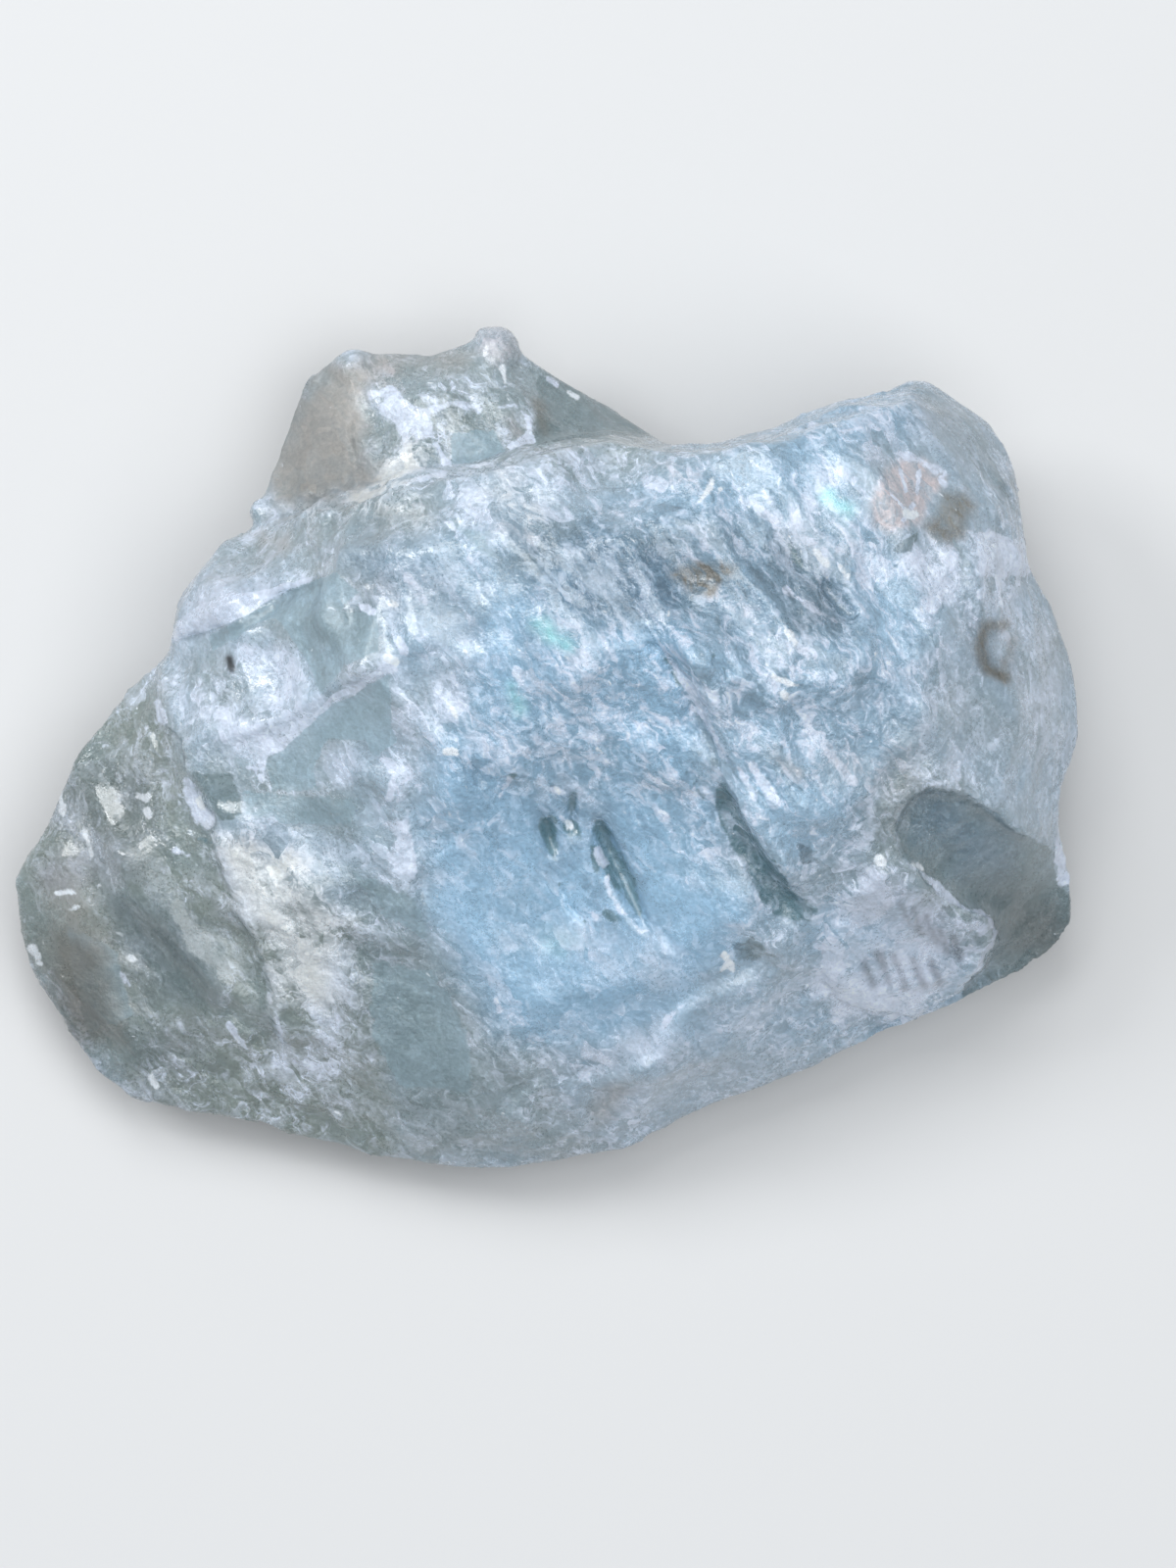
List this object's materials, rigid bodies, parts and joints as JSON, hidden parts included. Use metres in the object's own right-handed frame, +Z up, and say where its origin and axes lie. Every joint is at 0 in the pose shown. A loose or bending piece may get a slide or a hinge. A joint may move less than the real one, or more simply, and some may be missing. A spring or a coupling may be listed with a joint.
{
  "type": "raw beryl",
  "caption": "Broken lump of pale blue-green beryl with ledges, a smooth conchoidal hollow and hackly fracture faces, lying on its flattest face.",
  "frame": {"origin": "under the middle of the lump's bounding box, on the flat fracture face it rests on", "axes": "+Z up, +X along the lump's length towards its blunt end, +Y across it towards the side with the low lobe"},
  "size_m": [0.046, 0.0364, 0.019],
  "materials": {
    "beryl": "satin"
  },
  "bodies": {
    "root": {"beryl": "beryl"}
  },
  "joints": []
}
